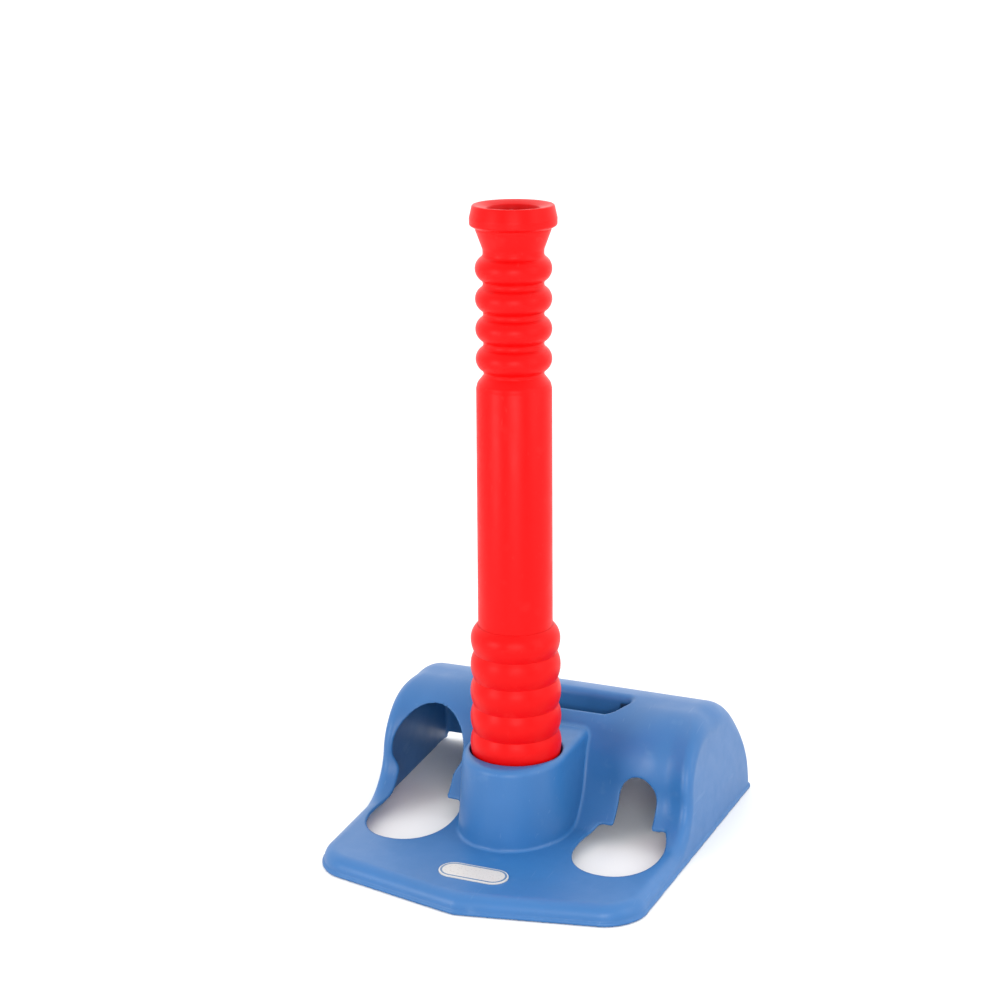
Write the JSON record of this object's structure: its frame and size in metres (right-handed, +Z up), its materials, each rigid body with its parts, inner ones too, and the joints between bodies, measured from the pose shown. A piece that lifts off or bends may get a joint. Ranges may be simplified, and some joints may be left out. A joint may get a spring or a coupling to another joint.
{
  "type": "batting tee",
  "caption": "Child's batting tee: a moulded base with a rear carrying hump and socket tower, and a corrugated two-piece post with a ball seat that adjusts in height.",
  "frame": {"origin": "on the floor, on the post's axis", "axes": "+X to the right of the base seen from its front edge, +Y towards the rear hump, +Z up along the post"},
  "size_m": [0.2924, 0.3129, 0.5195],
  "materials": {
    "base": "satin moulded polyethylene, mid blue",
    "post": "satin moulded polyethylene, bright red",
    "label": "printed film, blank off-white field with a thin grey-blue line round it"
  },
  "bodies": {
    "base": {"base_shell": "base", "label_plate": "label"},
    "sleeve": {"lower_sleeve": "post"},
    "tube": {"upper_tube": "post"}
  },
  "joints": [
    {"name": "post_turn", "type": "hinge", "parent": "base", "child": "sleeve", "pos_m": [0, 0, 0.04], "axis": [0, 0, 1], "continuous": true},
    {"name": "height_slide", "type": "slide", "parent": "sleeve", "child": "tube", "axis": [0, 0, 1], "range_m": [-0.0888, 0]}
  ]
}
